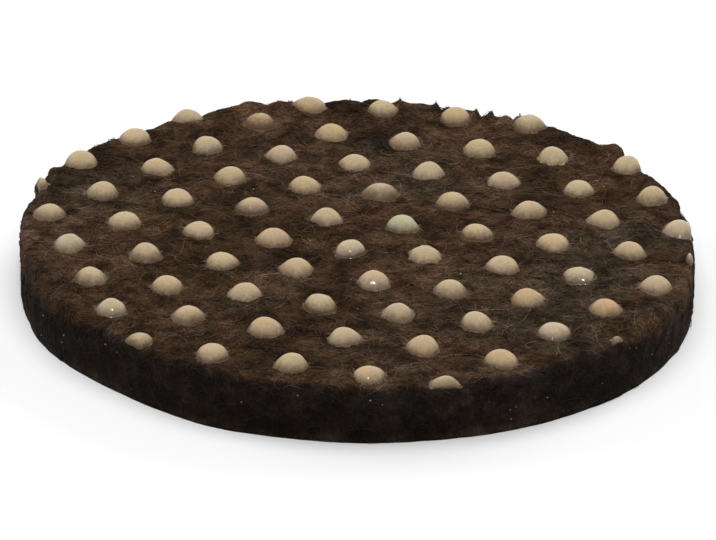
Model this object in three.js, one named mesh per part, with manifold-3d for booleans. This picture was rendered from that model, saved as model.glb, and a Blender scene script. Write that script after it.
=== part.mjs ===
// A round anti-slip pad: a die-cut disc of needled felt with drops of cured latex on its upper face.
// Millimetres, +Z up. The origin is the centre of the flat back face, which the pad lies on.
// The drops soak into the felt and can't come off it, so the felt and its drops are one solid.
import * as THREE from "three";
import { mergeVertices } from "three/addons/utils/BufferGeometryUtils.js";
import Module from "manifold-3d";

// The felt disc
const PAD_DIAMETER = 40;
const FELT_THICKNESS = 3.5;
const SHOULDER_RADIUS = 0.5; // top edge, rounded where the die pressed the felt down as it cut

// The latex drops
const DOT_DIAMETER = 1.8;
const DOT_HEIGHT = 0.6; // above the felt's upper face
const DOT_SOAK_DEPTH = 0.3; // how far a drop reaches into the felt, below the foot of the shoulder
const DOT_FULLNESS = 0.85; // 0.5 is half an ellipsoid, 1 is a paraboloid with a thinner rim

// The triangular grid that the drops were printed in, and where the die came down on it
const DOT_PITCH = 4.6;
const ROW_ANGLE = THREE.MathUtils.degToRad(-11.6);
const GRID_ANGLE = THREE.MathUtils.degToRad(60); // between the grid's two directions
const GRID_SHIFT = new THREE.Vector2(-0.5, -1.45); // the disc's centre to the nearest drop
const LEAST_SLIVER = 0.15; // a drop that would keep less width than this inside the cut fell off
const CUT_SETBACK = 0.05; // a cut drop ends this far inside the felt's wall

// How finely round things are faceted
const WALL_FACETS = 96;
const SHOULDER_FACETS = 4;
const DOT_FACETS = 12;
const DOT_RINGS = 4;

const wasm = await Module();
wasm.setup();

// A closed three.js geometry as a solid that can be cut and joined.
function solidOf(geometry) {
  const bare = geometry.clone();
  bare.deleteAttribute("normal");
  bare.deleteAttribute("uv");
  const merged = mergeVertices(bare, 1e-4);
  return new wasm.Manifold(
    new wasm.Mesh({
      numProp: 3,
      vertProperties: merged.attributes.position.array,
      triVerts: new Uint32Array(merged.index.array),
    }),
  );
}

// A profile of (radius, height) points turned about the Z axis.
function turned(profile, facets) {
  return new THREE.LatheGeometry(profile, facets).rotateX(Math.PI / 2);
}

// The felt: a flat back, an upright wall, a quarter-round shoulder and a flat upper face.
function feltDisc() {
  const radius = PAD_DIAMETER / 2;
  const profile = [new THREE.Vector2(0, 0), new THREE.Vector2(radius, 0)];
  for (let i = 0; i <= SHOULDER_FACETS; i++) {
    const turn = ((Math.PI / 2) * i) / SHOULDER_FACETS;
    profile.push(
      new THREE.Vector2(
        radius - SHOULDER_RADIUS * (1 - Math.cos(turn)),
        FELT_THICKNESS - SHOULDER_RADIUS * (1 - Math.sin(turn)),
      ),
    );
  }
  profile.push(new THREE.Vector2(0, FELT_THICKNESS));
  return turned(profile, WALL_FACETS);
}

// One drop, standing on height 0: a low dome on a root that is buried in the felt.
function latexDrop() {
  const radius = DOT_DIAMETER / 2;
  const root = -(SHOULDER_RADIUS + DOT_SOAK_DEPTH);
  const profile = [new THREE.Vector2(0, root), new THREE.Vector2(radius, root)];
  for (let i = DOT_RINGS; i > 0; i--) {
    const share = Math.sin(((Math.PI / 2) * i) / DOT_RINGS);
    profile.push(
      new THREE.Vector2(
        radius * share,
        DOT_HEIGHT * (1 - share * share) ** DOT_FULLNESS,
      ),
    );
  }
  profile.push(new THREE.Vector2(0, DOT_HEIGHT));
  return turned(profile, DOT_FACETS);
}

// The centre of every drop that the die leaves on the disc, whole or cut.
function dropCentres() {
  const along = new THREE.Vector2(DOT_PITCH, 0).rotateAround(
    new THREE.Vector2(),
    ROW_ANGLE,
  );
  const across = along.clone().rotateAround(new THREE.Vector2(), -GRID_ANGLE);
  const reach =
    PAD_DIAMETER / 2 - CUT_SETBACK + DOT_DIAMETER / 2 - LEAST_SLIVER;
  const steps = Math.ceil((2 * reach) / DOT_PITCH);
  const centres = [];
  for (let i = -steps; i <= steps; i++) {
    for (let j = -steps; j <= steps; j++) {
      const centre = GRID_SHIFT.clone()
        .addScaledVector(along, i)
        .addScaledVector(across, j);
      if (centre.length() < reach) centres.push(centre);
    }
  }
  return centres;
}

// All the drops on the upper face, the outer ones cut through by the die.
function latexDrops() {
  const drop = solidOf(latexDrop());
  let drops = null;
  for (const centre of dropCentres()) {
    const placed = drop.translate([centre.x, centre.y, FELT_THICKNESS]);
    drops = drops ? drops.add(placed) : placed;
  }
  const height = FELT_THICKNESS + DOT_HEIGHT * 2;
  const radius = PAD_DIAMETER / 2 - CUT_SETBACK;
  const die = new THREE.CylinderGeometry(radius, radius, height, WALL_FACETS);
  die.rotateX(Math.PI / 2).translate(0, 0, height / 2);
  return drops.intersect(solidOf(die));
}

// The joined solid as a geometry with a group for each face that is felt (0) or latex (1):
// latex is what stands above the felt's upper face, or lies inside a drop's outline on the shoulder.
function paddedGeometry(solid) {
  const { vertProperties, triVerts } = solid.getMesh();
  const centres = dropCentres();
  const corner = (index) =>
    new THREE.Vector3().fromArray(vertProperties, index * 3);
  const sides = [[], []];
  for (let i = 0; i < triVerts.length; i += 3) {
    const corners = [0, 1, 2].map((k) => corner(triVerts[i + k]));
    const middle = corners
      .reduce((sum, c) => sum.add(c), new THREE.Vector3())
      .divideScalar(3);
    const onADrop = centres.some(
      (c) => Math.hypot(middle.x - c.x, middle.y - c.y) < DOT_DIAMETER / 2,
    );
    const high = middle.z > FELT_THICKNESS - SHOULDER_RADIUS;
    sides[onADrop && high ? 1 : 0].push(...corners);
  }
  const geometry = new THREE.BufferGeometry().setFromPoints(sides.flat());
  geometry.addGroup(0, sides[0].length, 0);
  geometry.addGroup(sides[0].length, sides[1].length, 1);
  geometry.computeVertexNormals();
  return geometry;
}

const feltMaterial = new THREE.MeshStandardMaterial({
  name: "brown_needled_felt",
  color: 0x3d2e23,
  roughness: 0.95,
  metalness: 0,
});
const latexMaterial = new THREE.MeshStandardMaterial({
  name: "cream_latex",
  color: 0xb8a688,
  roughness: 0.45,
  metalness: 0,
});

const pad = new THREE.Mesh(
  paddedGeometry(solidOf(feltDisc()).add(latexDrops())),
  [feltMaterial, latexMaterial],
);
pad.name = "felt_pad_with_latex_dots";

const part = new THREE.Group();
part.name = "anti_slip_pad";
part.add(pad);

export default part;
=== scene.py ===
"""Dresses a round anti-slip pad: needled felt with loose fibres, and the drops of latex printed on it.

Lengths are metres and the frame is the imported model's: +Z up, with the origin at the centre of the back face.
"""

import itertools
import math

import bpy
import numpy as np
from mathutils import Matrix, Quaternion, Vector


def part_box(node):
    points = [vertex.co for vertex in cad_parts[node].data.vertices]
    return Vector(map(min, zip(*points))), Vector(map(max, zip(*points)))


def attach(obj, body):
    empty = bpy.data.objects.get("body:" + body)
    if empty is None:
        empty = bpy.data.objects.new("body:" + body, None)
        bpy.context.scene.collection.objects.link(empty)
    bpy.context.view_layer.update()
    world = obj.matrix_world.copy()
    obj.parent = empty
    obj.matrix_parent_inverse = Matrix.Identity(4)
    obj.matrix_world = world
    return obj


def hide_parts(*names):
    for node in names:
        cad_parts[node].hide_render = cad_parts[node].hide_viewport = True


bl_info = {
    "name": "Dotted felt pad",
    "version": (1, 0, 0),
    "blender": (4, 5, 0),
    "location": "View3D > Sidebar > Felt pad",
    "description": "Builds a round anti-slip pad of needled felt with drops of latex on it",
    "category": "Add Mesh",
}

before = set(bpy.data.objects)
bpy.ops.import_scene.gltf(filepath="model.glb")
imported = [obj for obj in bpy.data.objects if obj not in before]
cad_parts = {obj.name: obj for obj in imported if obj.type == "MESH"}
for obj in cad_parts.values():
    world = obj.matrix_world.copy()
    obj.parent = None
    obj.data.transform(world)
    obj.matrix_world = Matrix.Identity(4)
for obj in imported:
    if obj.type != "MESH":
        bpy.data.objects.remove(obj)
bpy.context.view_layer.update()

PAD_NODE = "felt_pad_with_latex_dots"
PAD_LOW, PAD_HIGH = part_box(PAD_NODE)
BAKE_MAP = "OFBake"

MM = 0.001
FULL_TURN = 2 * math.pi
QUARTER_TURN = math.pi / 2


def in_metres(lengths_from, *rows):
    """Rows of a table whose numbers from that place on are lengths, written here in millimetres."""
    return [(*row[:lengths_from], *(length * MM for length in row[lengths_from:])) for row in rows]


# How high a drop stands on the felt, which the frame's box doesn't tell apart from the felt's thickness
DROP_HEIGHT = 0.6 * MM

# The rings of a drop past its dome's edge, from its skirt to its root: how far out each lies past the dome,
# as a share of the skirt's width, but for the last one, and how high it stands on the felt
SKIRT_SHARES = np.array([0.55, 1.0, 0.75, -0.6])
SKIRT_STANDS = np.array([-0.01, -0.07, -0.24, -0.42, -0.58]) * MM
ROOT_SHARE = 0.5  # how wide that last ring is, as a share of the dome
ROOT_STAND = -0.62 * MM  # where the root ends in a point

# Where the felt puffs up at its upper edge, or was cut a little proud of the round or short of it:
# azimuth and half width in degrees, then how far outwards and how far upwards in millimetres
RIM_SWELLS = in_metres(
    2,
    (-1, 5, -0.18, 0.0), (-4.3, 1.6, 0.22, 0.0), (8, 6, 0.18, 0.0), (21.0, 2.6, 0.27, 0.03),
    (25, 8, 0.48, 0.05), (37, 6, 0.60, 0.10), (41.5, 2.4, 0.95, 0.06), (46.5, 3, 0.32, 0.16),
    (54.5, 7.5, 0.56, 0.30), (62, 3.5, 0.40, 0.28), (71, 2, 0.05, 0.16), (86, 17, 0.15, 0.20),
    (88.2, 2, 0.05, 0.16), (102, 1.5, 0.05, 0.10), (108, 6, 0.20, 0.17), (110.2, 1.7, 0.05, 0.22),
    (118, 9, 0.45, 0.12), (125, 3, 0.30, 0.05), (139, 8, 0.50, 0.05), (145, 3, 0.16, 0.04),
    (151, 9, 0.22, 0.06), (157, 5, 0.45, 0.08), (161.0, 1.9, 0.50, 0.05), (172, 7, 0.24, 0.0),
)

# Small points that the cutting left on the edge, and nicks between them, listed in the same way
RIM_NICKS = in_metres(
    2,
    (16.5, 1.0, -0.14, 0.0), (39.2, 0.8, -0.25, -0.10), (42.4, 0.9, 0.25, 0.10),
    (61.6, 0.5, 0.05, 0.26), (62.5, 0.5, -0.10, -0.46), (64.0, 0.6, 0.05, 0.14),
    (66.5, 0.40, 0.05, 0.42), (68.2, 0.9, -0.05, -0.30), (69.3, 0.45, 0.05, 0.34),
    (74.6, 0.40, 0.05, 0.22), (75.7, 0.5, -0.05, -0.20), (76.8, 0.45, 0.05, 0.40),
    (83.4, 0.50, 0.05, 0.30), (90.1, 0.6, 0.0, -0.26), (104.0, 0.5, 0.0, -0.20),
    (105.1, 0.8, 0.0, 0.24), (107.6, 0.7, 0.0, -0.22), (134.0, 0.5, 0.10, 0.20),
    (155.6, 0.7, 0.28, 0.14),
)

# Tufts of fibres on the upper edge: azimuth and half width in degrees, then how far they stand off in
# millimetres
EDGE_TUFTS = in_metres(
    2,
    (61.6, 0.30, 0.14), (66.5, 0.22, 0.18), (69.3, 0.30, 0.12), (74.6, 0.22, 0.12),
    (76.8, 0.30, 0.14), (83.4, 0.35, 0.14), (92.5, 0.40, 0.12), (103.0, 0.35, 0.15),
)
TUFT_FIBRES = 10  # in each

# Where the foot of the wall stands out of the round or back from it, listed in the same way
FOOT_SWELLS = in_metres(
    2,
    (-155, 10, 0.14), (-135, 8, -0.14), (-113, 6, 0.16), (-75, 14, -0.10), (-35, 18, 0.10),
)

# The felt's lumps: the seed of their noise, and how wide and how high they are in millimetres
FELT_LUMPS = in_metres(
    1,
    (11, 2.4, 0.085), (12, 0.95, 0.080), (13, 0.45, 0.045),
)
BROAD_LUMPS = 2  # how many of those a fibre follows as it lies on the felt
LUMPS_AT_FOOT = 0.4  # how high they are at the foot of the wall, as a share

# The shallow dimple that goes round each drop
DIMPLE_DEPTH = 0.10 * MM
DIMPLE_HALF_WIDTH = 0.38 * MM

# The edge's own unevenness: the seed of its noise, how wide its lumps are and how far outwards and upwards
# they go, in millimetres
EDGE_LUMPS = in_metres(
    1,
    (21, 5.0, 0.10, 0.04), (22, 1.7, 0.05, 0.06), (23, 0.8, 0.03, 0.10),
)
# What is left at the foot of the wall of that noise and of the upper edge's swells, and at the face of the
# foot's
NOISE_AT_FOOT = 0.35
SWELL_AT_FOOT = 0.25
FOOT_SWELL_AT_FACE = 0.3
RIM_POWER = 9  # of the share of the way out from the middle, by which the swells fade inwards over the face

# Drops that stand out in the photo, named by their steps along the grid's two directions.
# Those that soaked far into the felt on one side as they were printed: which way in degrees, and how far in
# millimetres
RUN_DROPS = in_metres(
    2,
    ((1, -2), 178, 0.42), ((-1, 0), 172, 0.50), ((-1, 1), 172, 0.42), ((-1, 3), 4, 0.35),
    ((-2, 4), 2, 0.30), ((0, 3), 170, 0.35), ((0, 4), 168, 0.25), ((-4, 3), 190, 0.35),
    ((4, 0), 186, 0.40),
)
# Those that lie off the grid, and how far to the right and to the back in millimetres
MOVED_DROPS = in_metres(
    1,
    ((-4, 4), 0.30, 0.62), ((-4, -1), 0.74, -0.45), ((5, -1), -0.76, 0.22), ((0, 4), -0.08, -0.22),
    ((3, 2), -0.68, 0.14), ((1, -5), 0.05, -0.45), ((-4, 3), 0.0, 0.35), ((-3, 3), -0.10, 0.65),
    ((-3, -1), 0.0, -0.35), ((-3, -2), -0.15, -0.35), ((-2, 2), 0.10, 0.40), ((-1, 1), -0.05, 0.50),
    ((1, 0), -0.10, 0.45), ((0, -1), -0.08, -0.30), ((0, 0), -0.06, -0.25), ((-1, 4), 0.0, -0.30),
    ((1, 3), 0.0, -0.30), ((4, 0), 0.0, -0.35), ((1, -2), 0.15, 0.20),
)
# Those that are small, or of which the die left only a nub: how wide and how high, as shares of a whole drop
NUB_DROPS = (((3, 2), 0.42, 0.42), ((5, -1), 0.50, 0.7), ((-4, -1), 0.46, 0.75), ((-4, 4), 0.78, 0.62))
# Those with a hue of their own, from 0 for the palest to 1 for the yellowest
HUED_DROPS = (
    ((3, 1), 1.0), ((-1, 4), 0.85), ((3, 0), 0.6), ((0, -4), 0.8), ((2, 1), 0.75), ((1, -1), 0.0),
    ((-4, 1), 0.1),
)
# Those whose latex is stained deep by the felt, or is cleaner than most: as much as if it were that much
# thinner, in shares of a drop's height
STAINED_DROPS = (
    ((0, -4), 0.40), ((1, -2), 0.32), ((-1, 2), 0.25), ((2, -2), 0.20), ((2, -1), 0.20),
    ((-1, -1), 0.22), ((1, 1), 0.16), ((-3, 4), 0.12), ((-3, 3), 0.12), ((-3, 1), 0.16),
    ((3, 0), 0.16), ((2, 2), 0.14), ((4, -4), -0.25), ((-2, 2), -0.20), ((1, -3), -0.15),
    ((3, -3), -0.10),
)
# Those that are wet enough to glint
GLOSSY_DROPS = ((-4, 3), (0, 1), (0, 0), (-1, 4), (3, 0), (5, -2), (2, 2))

# How finely the drops and fibres are faceted
DROP_SIDES = 36
DROP_RINGS = 10
FIBRE_SIDES = 3

# What share of its width the die must leave of a drop, or it fell off, and below which it counts as cut
LEAST_LEFT = 0.08
WHOLE_SHARE = 0.75

# The waves round a drop's outline and round its skirt's: how many, and how high as a share of the dome's
# radius or of the skirt's width
OUTLINE_WAVES = ((2, 0.030), (3, 0.022), (5, 0.014), (8, 0.010))
SKIRT_WAVES = ((3, 0.25), (4, 0.30), (6, 0.30), (9, 0.30), (13, 0.25))

RUNS_EACH = 3  # in how many ways a drop soaked further
RUN_SHARE = 0.6  # how much of a listed distance the latex went, where its fibres took it the rest of the way
RUN_HALF_ANGLE = 0.42  # how wide the tongue is that it drew out there, in radians
DOME_RUN = 0.45  # how far that draws out the dome's edge, as a share, and how much wider it makes the skirt
SKIRT_RUN = 0.8

# A cut drop's height, as a share of a whole one's: the first, and the second times what is left of its width
CUT_HEIGHT = (0.30, 0.50)
CUT_LIFT = 0.02 * MM  # how far its dome stands off the felt where it is thinnest
CUT_ROUNDING = 0.22 * MM  # how near to the cut the dome rounds down
CUT_SETBACK = 0.16 * MM  # how far inside the felt's edge the latex ends
CUT_MARGIN = 0.10 * MM  # how near to its end the latex is drawn in

EDGE_LIFT = 0.045 * MM  # how thick a dome still is at its edge
PRINT_SCATTER = 0.035 * MM  # how far the drops lie off their places, typically


def srgb(red, green, blue):
    """A colour given as it looks on a screen, 0 to 255 each, as the linear values that a shader takes."""
    shares = np.array((red, green, blue)) / 255
    linear = np.where(shares <= 0.04045, shares / 12.92, ((shares + 0.055) / 1.055) ** 2.4)
    return tuple(float(x) for x in linear)


def length_property(name, description, default):
    return bpy.props.FloatProperty(
        name=name, description=description, default=default, unit="LENGTH", precision=5
    )


def angle_property(name, description, degrees):
    return bpy.props.FloatProperty(
        name=name, description=description, default=math.radians(degrees), subtype="ANGLE"
    )


def colour_property(name, description, *screen_colour):
    return bpy.props.FloatVectorProperty(
        name=name,
        description=description,
        default=srgb(*screen_colour),
        subtype="COLOR",
        min=0.0,
        max=1.0,
    )


def strength_property(name, description, default):
    return bpy.props.FloatProperty(name=name, description=description, default=default, min=0.0)


class FeltPadSizes(bpy.types.PropertyGroup):
    """The felt disc, the drops on it, and the grid that they were printed in."""

    diameter: length_property("Diameter", "Width of the round felt", PAD_HIGH.x - PAD_LOW.x)
    thickness: length_property(
        "Felt thickness", "From the back to the dotted face", PAD_HIGH.z - PAD_LOW.z - DROP_HEIGHT
    )
    shoulder: length_property("Shoulder", "Radius of the felt's upper edge", 0.5 * MM)
    drop_height: length_property("Drop height", "How high a drop stands on the felt", DROP_HEIGHT)
    drop_width: length_property("Drop width", "Width of a drop's dome, without its skirt", 1.88 * MM)
    skirt: length_property("Skirt", "How far a drop's thin edge runs out past its dome", 0.11 * MM)
    pitch: length_property("Pitch", "Distance from each drop to its six neighbours", 4.6 * MM)
    row_angle: angle_property("Row angle", "Turn of the rows of drops from the X axis", -11.6)
    shift_x: length_property("Grid shift X", "From the felt's centre to the nearest drop", -0.5 * MM)
    shift_y: length_property("Grid shift Y", "From the felt's centre to the nearest drop", -1.45 * MM)


class FeltPadFibres(bpy.types.PropertyGroup):
    """The loose fibres on the felt."""

    per_layer: bpy.props.IntProperty(
        name="Fibres in a layer", description="How many fibres a layer of short ones has", default=3900, min=1
    )
    strays: bpy.props.IntProperty(
        name="Strays", description="How many short fibres stand off the edge", default=1900, min=1
    )
    fringe: bpy.props.IntProperty(
        name="Fringe of a drop", description="How many soaked fibres each drop has", default=70, min=1
    )
    width: length_property("Fibre width", "Width of a fibre at its middle", 0.046 * MM)
    length: length_property("Fibre length", "Mean length of a lying fibre", 3.4 * MM)


class FeltPadColours(bpy.types.PropertyGroup):
    """The colours of the felt, the latex and the floor."""

    # The darkest felt colour: dark fibres, and painted shade deep between the fibres
    ground: colour_property("Felt ground", "Deep between the fibres", 36, 25, 16)
    brown: colour_property("Brown fibre", "Most of the fibres", 68, 48, 30)
    russet: colour_property("Russet fibre", "Redder patches", 70, 48, 32)
    olive: colour_property("Olive fibre", "Darker, greener patches", 52, 43, 31)
    tan: colour_property("Tan fibre", "The palest fibres", 108, 93, 76)
    # Darker than the face: partly the cut fibre ends, partly painted shade of the wall, which faces away from
    # the lamps
    edge: colour_property("Cut edge", "The fibre ends in the cut wall", 26, 19, 16)
    # Also blended in over the lowest part of the wall, which turns paler towards its foot
    dust: colour_property("Dust", "Pale lint that clings to the cut wall", 88, 80, 69)
    cream: colour_property("Cream latex", "Most of the drops", 189, 171, 137)
    amber: colour_property("Amber latex", "The yellowest drops", 192, 162, 117)
    pale: colour_property("Pale latex", "The palest, slightly green drops", 181, 177, 148)
    pink: colour_property("Pink latex", "Where the felt's dye tinted the latex", 187, 160, 138)
    # Laid over each drop's low flanks and skirt: partly felt showing through thin latex, partly painted shade
    # where those flanks turn away from the light above
    stained: colour_property("Stained latex", "Thin latex with the felt showing through", 96, 75, 55)
    soaked: colour_property("Soaked fibre", "Fibres that stick out of the drops", 150, 134, 110)
    floor: colour_property("Floor", "The floor as the camera sees it", 250, 250, 250)


class FeltPadStage(bpy.types.PropertyGroup):
    """The camera's place and the strength of the light."""

    distance: length_property("Distance", "From the camera to the middle of the dotted face", 406.8 * MM)
    elevation: angle_property("Elevation", "The camera's height above the dotted face", 25.15)
    roll: angle_property("Roll", "The camera's turn about its own view", 1.69)
    aim: length_property("Aim", "How far in front of the pad's middle the camera points", 4.36 * MM)
    focal_length: bpy.props.FloatProperty(
        name="Focal length", description="Of the lens, for a picture 36 mm wide", default=344.3
    )
    overhead: strength_property("Overhead light", "The soft light above the pad", 1.58)
    side: strength_property("Side lights", "The soft lights beside and behind the pad", 1.1)
    front: strength_property("Front light", "The small lamp in front that glints on the drops", 1.0)
    ambient: strength_property("Ambient light", "The even light from all around", 0.18)


def polar(radius, azimuth):
    """Places (..., 2) of the ground plane at a distance and an azimuth from the middle."""
    return np.stack([radius * np.cos(azimuth), radius * np.sin(azimuth)], axis=-1)


def radius_of(flat):
    return np.hypot(flat[..., 0], flat[..., 1])


def azimuth_of(flat):
    return np.arctan2(flat[..., 1], flat[..., 0])


def turn_between(first, second):
    """The angle from the second to the first, from minus half a turn to half a turn."""
    return np.angle(np.exp(1j * (first - second)))


def unit(vectors):
    return vectors / np.linalg.norm(vectors, axis=-1, keepdims=True)


def growing(share, least):
    """A factor that goes from its least value to 1 with a share."""
    return least + (1 - least) * share


def drop_grid(sizes):
    """Every drop that was printed on the sheet of felt, as steps along the grid's two directions and a place.

    place = shift + i * along + j * across, where along and across are one pitch long and 60 degrees apart."""
    along = sizes.pitch * np.array([math.cos(sizes.row_angle), math.sin(sizes.row_angle)])
    turn = sizes.row_angle - math.radians(60)
    across = sizes.pitch * np.array([math.cos(turn), math.sin(turn)])
    reach = int(sizes.diameter / sizes.pitch) + 1
    i, j = np.meshgrid(np.arange(-reach, reach + 1), np.arange(-reach, reach + 1), indexing="ij")
    steps = np.stack([i.ravel(), j.ravel()], axis=1)
    return steps, np.array([sizes.shift_x, sizes.shift_y]) + steps @ np.stack([along, across])


def is_drop(steps, step):
    """Which of the drops is the one that lies that many steps along the grid's two directions."""
    return np.all(steps == step, axis=1)


def soft_noise(points, lump, seed):
    """Smooth random values from -1 to 1 at points (..., 3), in lumps about that wide.

    Space is turned by a random rotation and cut into cubes of side lump. Each cube corner has a fixed random
    value. A point takes the mean of its cube's eight corners, weighted by t * t * (3 - 2 * t) along each
    axis."""
    period = 31
    rng = np.random.default_rng(seed)
    values = rng.uniform(-1, 1, (period, period, period))
    rotation = np.linalg.qr(rng.normal(size=(3, 3)))[0]
    place = points @ rotation / lump
    low = np.floor(place).astype(int)
    share = place - low
    share = share * share * (3 - 2 * share)
    total = np.zeros(points.shape[:-1])
    for corner in itertools.product((0, 1), repeat=3):
        weight = np.prod(np.where(corner, share, 1 - share), axis=-1)
        index = np.moveaxis((low + corner) % period, -1, 0)
        total += weight * values[tuple(index)]
    return total


class FeltForm:
    """The felt's outer form. A round sheet, wider than the pad, is laid over it: its middle is the dotted
    face, then comes a ring that bends over the shoulder, and its outermost ring is the wall."""

    def __init__(self, sizes):
        self.thickness = sizes.thickness
        self.shoulder = sizes.shoulder
        self.radius = sizes.diameter / 2
        self.face_radius = self.radius - self.shoulder
        self.bend_end = self.face_radius + self.shoulder * QUARTER_TURN
        self.sheet_radius = self.bend_end + self.thickness - self.shoulder
        self.drop_radius = sizes.drop_width / 2
        steps, places = drop_grid(sizes)
        for step, *move in MOVED_DROPS:
            places[is_drop(steps, step)] += move
        scales = np.ones((len(steps), 2))
        for step, *scale in NUB_DROPS:
            scales[is_drop(steps, step)] = scale
        inside = self.inside_share(places)
        kept = inside > LEAST_LEFT
        self.drop_steps, self.drop_places, self.drop_inside = steps[kept], places[kept], inside[kept]
        self.drop_scales = scales[kept]
        self.drop_runs = self.soaked_ways()

    def inside_share(self, places):
        """How much of a drop's width the die left on the felt, from 0 to 1."""
        edge = self.radius + self.rim_swell(azimuth_of(places))[0]
        left = edge - radius_of(places) + self.drop_radius
        return np.clip(left / (2 * self.drop_radius), 0, 1)

    def soaked_ways(self, seed=31):
        """For each drop a few ways in which it soaked further into the felt, as azimuths and distances. They
        are random, but for the drops that are listed."""
        rng = np.random.default_rng(seed)
        size = (len(self.drop_places), RUNS_EACH)
        azimuth = rng.uniform(0, FULL_TURN, size)
        far = rng.gamma(1.5, 0.055, size).clip(0, 0.22) * MM
        for step, degrees, distance in RUN_DROPS:
            listed = is_drop(self.drop_steps, step)
            azimuth[listed, 0] = math.radians(degrees)
            far[listed, 0] = RUN_SHARE * distance
        return azimuth, far

    def rim_swell(self, azimuth, level=1.0):
        """How far the edge stands outwards and upwards at an azimuth: the sum of a bell curve for each
        listed swell, of a peak that falls off exponentially on both sides for each nick, and of noise that
        is read off a circle as long as the edge. With level going from 0 at the foot of the wall to 1 at
        the face, the upper edge's swells and noise fade downwards and the foot's swells fade upwards."""
        circle = np.stack([np.cos(azimuth), np.sin(azimuth), np.zeros_like(azimuth)], axis=-1) * self.radius
        outward, upward = 0.0, 0.0
        for seed, lump, out, up in EDGE_LUMPS:
            outward = outward + out * soft_noise(circle, lump, seed) * growing(level, NOISE_AT_FOOT)
            upward = upward + up * soft_noise(circle, lump, seed + 10)

        def bump(centre, half_width, power):
            apart = np.abs(turn_between(azimuth, math.radians(centre)))
            return np.exp(-((apart / math.radians(half_width)) ** power))

        for bumps, power in ((RIM_SWELLS, 2), (RIM_NICKS, 1)):
            for centre, half_width, out, up in bumps:
                here = bump(centre, half_width, power)
                outward = outward + out * here * growing(level, SWELL_AT_FOOT)
                upward = upward + up * here
        for centre, half_width, out in FOOT_SWELLS:
            outward = outward + out * bump(centre, half_width, 2) * growing(1 - level, FOOT_SWELL_AT_FACE)
        return outward, upward

    def wrap(self, sheet):
        """Points and outward directions where points (..., 2) of the flat sheet come to lie.

        With t the angle gone round the shoulder, from 0 to a quarter turn, the point's radius is the face's
        part plus shoulder * sin t, and it lies shoulder * (1 - cos t) below the face, less what is left of
        the sheet once it hangs down the wall. The edge's swell is added over the outermost face and wall."""
        rho, azimuth = radius_of(sheet), azimuth_of(sheet)
        turn = np.clip((rho - self.face_radius) / self.shoulder, 0, QUARTER_TURN)
        radius = np.minimum(rho, self.face_radius) + self.shoulder * np.sin(turn)
        hanging = np.maximum(rho - self.bend_end, 0)
        height = self.thickness - self.shoulder * (1 - np.cos(turn)) - hanging
        level = np.clip(height / self.thickness, 0, 1)
        outward, upward = self.rim_swell(azimuth, level)
        near_edge = np.clip(radius / self.radius, 0, 1) ** RIM_POWER
        radius = radius + outward * near_edge
        height = height + upward * near_edge * level**2
        way = polar(1, azimuth)
        points = np.concatenate([way * radius[..., None], height[..., None]], axis=-1)
        outwards = np.concatenate([way * np.sin(turn)[..., None], np.cos(turn)[..., None]], axis=-1)
        return points, outwards

    def relief(self, points, lumps):
        """How far the felt stands out from its plain form: noise in lumps of a few widths, weaker towards
        the foot, and a shallow dimple round each drop, a bell curve of the distance to the drop's edge."""
        total = np.zeros(points.shape[:-1])
        for seed, lump, height in FELT_LUMPS[:lumps]:
            total += height * soft_noise(points, lump, seed)
        on_face = np.clip((points[..., 2] - self.thickness + self.shoulder) / self.shoulder, 0, 1)
        total *= growing(np.clip(points[..., 2] / self.thickness, 0, 1), LUMPS_AT_FOOT)
        return total - DIMPLE_DEPTH * self.near_drop(points[..., :2]) * on_face

    def near_drop(self, flat):
        """1 on the outline of a drop, falling off as a bell curve on both sides of it."""
        to_drop = np.full(flat.shape[:-1], np.inf)
        for place in self.drop_places:
            to_drop = np.minimum(to_drop, radius_of(flat - place))
        return np.exp(-(((to_drop - self.drop_radius) / DIMPLE_HALF_WIDTH) ** 2))

    def height_at(self, flat):
        """The felt's height over places (..., 2) of the ground plane: the shoulder's circle solved for the
        height, with the edge's swell taken off the radius first."""
        reach = radius_of(flat)
        outward, upward = self.rim_swell(azimuth_of(flat))
        near_edge = np.clip(reach / self.radius, 0, 1) ** RIM_POWER
        round_share = np.clip((reach - outward * near_edge - self.face_radius) / self.shoulder, 0, 1)
        height = self.thickness - self.shoulder * (1 - np.sqrt(1 - round_share**2)) + upward * near_edge
        return height + self.relief(np.concatenate([flat, height[..., None]], axis=-1), len(FELT_LUMPS))

    def surface(self, sheet, lumps=len(FELT_LUMPS), lift=0.0):
        """Points on the lumpy felt, raised by lift along the outward directions, and those directions."""
        points, outwards = self.wrap(sheet)
        stand = self.relief(points, lumps) + lift
        return points + outwards * stand[..., None], outwards


def add_piece(name, points, quads, triangles, corner_uv, finish, slot, attributes=None):
    """A smooth mesh object from arrays of points and faces, with a bake map and point attributes.
    It rides on the pad's one body and stands for its plain solid."""
    mesh = bpy.data.meshes.new(name)
    corners = np.concatenate([quads.ravel(), triangles.ravel()])
    totals = np.concatenate([np.full(len(quads), 4), np.full(len(triangles), 3)])
    starts = np.concatenate([[0], np.cumsum(totals)[:-1]])
    mesh.vertices.add(len(points))
    mesh.vertices.foreach_set("co", points.astype(np.float32).ravel())
    mesh.loops.add(len(corners))
    mesh.loops.foreach_set("vertex_index", corners.astype(np.int32))
    mesh.polygons.add(len(totals))
    mesh.polygons.foreach_set("loop_start", starts.astype(np.int32))
    mesh.polygons.foreach_set("use_smooth", np.ones(len(totals), bool))
    mesh.update(calc_edges=True)
    mesh.uv_layers.new(name=BAKE_MAP).data.foreach_set("uv", corner_uv.astype(np.float32).ravel())
    for label, values in (attributes or {}).items():
        attribute = mesh.attributes.new(label, "FLOAT", "POINT")
        attribute.data.foreach_set("value", values.astype(np.float32))
    mesh.materials.append(finish)
    piece = bpy.data.objects.new(name, mesh)
    bpy.context.scene.collection.objects.link(piece)
    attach(piece, "root")
    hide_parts(PAD_NODE)
    return piece


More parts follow.
